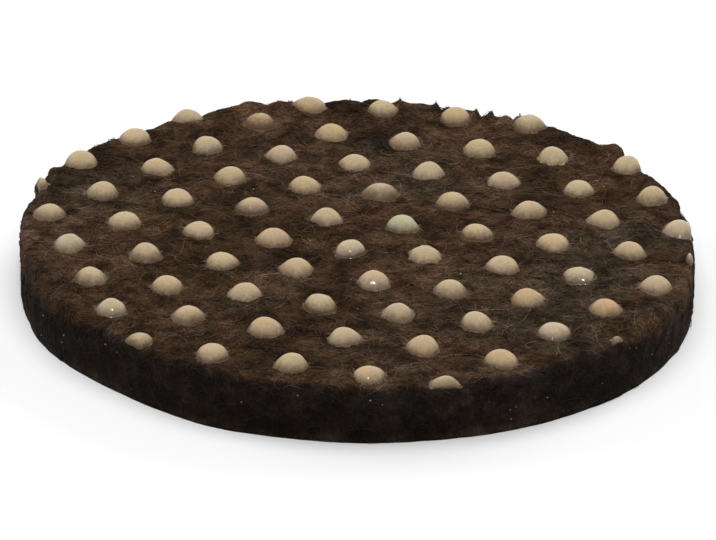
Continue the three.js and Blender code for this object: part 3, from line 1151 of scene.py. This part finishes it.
def away_from_front(azimuth, elevation):
    """The unit direction towards a place, where azimuth 0 is the front (-Y) and a quarter turn is +X."""
    flat = math.cos(math.radians(elevation))
    return Vector(
        (
            math.sin(math.radians(azimuth)) * flat,
            -math.cos(math.radians(azimuth)) * flat,
            math.sin(math.radians(elevation)),
        )
    )


def add_sun(name, azimuth, elevation, strength, spread, mirrored=False):
    """A far lamp as wide as the spread, in degrees. It lights pad and floor evenly, and only shows as a
    highlight if it is to be mirrored."""
    data = bpy.data.lights.new(name, "SUN")
    data.energy = strength
    data.angle = math.radians(spread)
    lamp = bpy.data.objects.new(name, data)
    lamp.rotation_euler = away_from_front(azimuth, elevation).to_track_quat("Z", "Y").to_euler()
    lamp.location = away_from_front(azimuth, elevation)
    lamp.visible_glossy = mirrored
    bpy.context.scene.collection.objects.link(lamp)


def set_world(ambient):
    """A white surround that gives only a weak even light."""
    world = bpy.data.worlds.new("studio_surround")
    world.use_nodes = True
    tree = world.node_tree
    background = next(n for n in tree.nodes if n.type == "BACKGROUND")
    mix = tree.nodes.new("ShaderNodeMix")
    tree.links.new(seen_share(tree), mix.inputs[0])
    mix.inputs[2].default_value = ambient
    mix.inputs[3].default_value = 1.0
    tree.links.new(mix.outputs[0], background.inputs["Strength"])
    background.inputs["Color"].default_value = (1.0, 1.0, 1.0, 1.0)
    bpy.context.scene.world = world


class FELTPAD_OT_felt(bpy.types.Operator):
    """Adds the felt disc, with its lumpy face, rounded shoulder, cut wall and flat back"""

    bl_idname = "felt_pad.add_felt"
    bl_label = "Felt disc"

    def execute(self, context):
        scene = context.scene
        *mesh_parts, past_edge = felt_disc_mesh(FeltForm(scene.felt_pad_sizes))
        finish = felt_ground_finish(scene.felt_pad_colours)
        felt = add_piece("felt_disc", *mesh_parts, finish, "felt", {"past_edge": past_edge})
        return {"FINISHED"}


class FELTPAD_OT_fibres(bpy.types.Operator):
    """Adds the felt's loose fibres: three layers that lie on it, and the strays at its edge"""

    bl_idname = "felt_pad.add_fibres"
    bl_label = "Loose fibres"

    def execute(self, context):
        scene = context.scene
        fibres, colours = scene.felt_pad_fibres, scene.felt_pad_colours
        form = FeltForm(scene.felt_pad_sizes)
        dark = fibre_finish("dark_fibre", colours, 0.25)
        light = fibre_finish("light_fibre", colours, 0.62)
        layers = (
            ("felt_fibres_lowest", 61, 0.05 * MM, 1.15, 0.55, 10, dark),
            ("felt_fibres_middle", 62, 0.08 * MM, 1.0, 0.65, 10, dark),
            ("felt_fibres_upper", 63, 0.10 * MM, 0.8, 1.1, 14, light),
        )
        for name, seed, arch, width_scale, length_scale, stations, finish in layers:
            made = lying_fibres(form, fibres, seed, arch, width_scale, length_scale, stations)
            add_fibres(name, made, finish)
        add_fibres("felt_fibres_edge", stray_fibres(form, fibres, 64), dark)
        return {"FINISHED"}


class FELTPAD_OT_drops(bpy.types.Operator):
    """Adds the latex drops in their grid, cut through at the felt's edge, and the fibres that they soaked"""

    bl_idname = "felt_pad.add_drops"
    bl_label = "Latex drops"

    def execute(self, context):
        scene = context.scene
        form = FeltForm(scene.felt_pad_sizes)
        (points, quads, triangles, shares), attributes = drop_surface(form, scene.felt_pad_sizes)
        uv = disc_uv(*shares, len(form.drop_places))
        finish = latex_finish(scene.felt_pad_colours)
        add_piece("latex_drops", points, quads, triangles, uv, finish, "latex", attributes)
        fringe = fringe_fibres(form, scene.felt_pad_fibres, 71)
        add_fibres("latex_fringes", fringe, fringe_finish(scene.felt_pad_colours), "latex")
        return {"FINISHED"}


class FELTPAD_OT_spatter(bpy.types.Operator):
    """Adds the specks of latex that the printing left on the felt"""

    bl_idname = "felt_pad.add_spatter"
    bl_label = "Latex specks"

    def execute(self, context):
        scene = context.scene
        (points, quads, triangles, shares), count = spatter_surface(FeltForm(scene.felt_pad_sizes))
        uv = disc_uv(*shares, count)
        finish = spatter_finish(scene.felt_pad_colours)
        add_piece("latex_specks", points, quads, triangles, uv, finish, "latex")
        return {"FINISHED"}


class FELTPAD_OT_stage(bpy.types.Operator):
    """Adds the floor, the soft lights and the camera"""

    bl_idname = "felt_pad.add_stage"
    bl_label = "Stage"

    def execute(self, context):
        scene = context.scene
        stage = scene.felt_pad_stage
        half = 3.0
        corners = [(-half, -half, 0), (half, -half, 0), (half, half, 0), (-half, half, 0)]
        mesh = bpy.data.meshes.new("floor")
        mesh.from_pydata(corners, [], [(0, 1, 2, 3)])
        mesh.materials.append(floor_finish(scene.felt_pad_colours))
        floor = bpy.data.objects.new("floor", mesh)
        scene.collection.objects.link(floor)

        add_sun("overhead_light", 180, 86, stage.overhead, 60)
        add_sun("left_light", -122, 18, 0.8 * stage.side, 35)
        add_sun("right_light", 140, 18, stage.side, 35)
        add_sun("front_light", 2, 52, stage.front, 7, mirrored=True)
        set_world(stage.ambient)

        data = bpy.data.cameras.new("photo_camera")
        data.lens = stage.focal_length
        data.sensor_width = 36
        data.clip_start = 0.02
        data.clip_end = 20
        camera = bpy.data.objects.new("photo_camera", data)
        face_middle = Vector((0, 0, scene.felt_pad_sizes.thickness))
        back = away_from_front(0, math.degrees(stage.elevation))
        camera.location = face_middle + back * stage.distance
        ahead = face_middle + Vector((0, -stage.aim, 0)) - camera.location
        camera.rotation_mode = "QUATERNION"
        roll = Quaternion((0, 0, 1), stage.roll)
        camera.rotation_quaternion = ahead.to_track_quat("-Z", "Y") @ roll
        scene.collection.objects.link(camera)
        scene.camera = camera
        scene.view_settings.view_transform = "Standard"
        return {"FINISHED"}


OPERATORS = (FELTPAD_OT_felt, FELTPAD_OT_fibres, FELTPAD_OT_drops, FELTPAD_OT_spatter, FELTPAD_OT_stage)
PROPERTY_GROUPS = {
    "felt_pad_sizes": FeltPadSizes,
    "felt_pad_fibres": FeltPadFibres,
    "felt_pad_colours": FeltPadColours,
    "felt_pad_stage": FeltPadStage,
}


class FELTPAD_PT_panel(bpy.types.Panel):
    """The pad's sizes and colours, and a button for each of its pieces"""

    bl_label = "Felt pad"
    bl_space_type = "VIEW_3D"
    bl_region_type = "UI"
    bl_category = "Felt pad"

    def draw(self, context):
        for operator in OPERATORS:
            self.layout.operator(operator.bl_idname)
        for group in PROPERTY_GROUPS:
            box = self.layout.box()
            values = getattr(context.scene, group)
            for name in values.bl_rna.properties.keys():
                if name not in ("rna_type", "name"):
                    box.prop(values, name)


def register():
    for cls in (*PROPERTY_GROUPS.values(), *OPERATORS, FELTPAD_PT_panel):
        bpy.utils.register_class(cls)
    for name, group in PROPERTY_GROUPS.items():
        setattr(bpy.types.Scene, name, bpy.props.PointerProperty(type=group))


def unregister():
    for name in PROPERTY_GROUPS:
        delattr(bpy.types.Scene, name)
    for cls in reversed((*PROPERTY_GROUPS.values(), *OPERATORS, FELTPAD_PT_panel)):
        bpy.utils.unregister_class(cls)


def main():
    register()
    bpy.ops.felt_pad.add_felt()
    bpy.ops.felt_pad.add_fibres()
    bpy.ops.felt_pad.add_drops()
    bpy.ops.felt_pad.add_spatter()
    bpy.ops.felt_pad.add_stage()


if __name__ == "__main__":
    main()
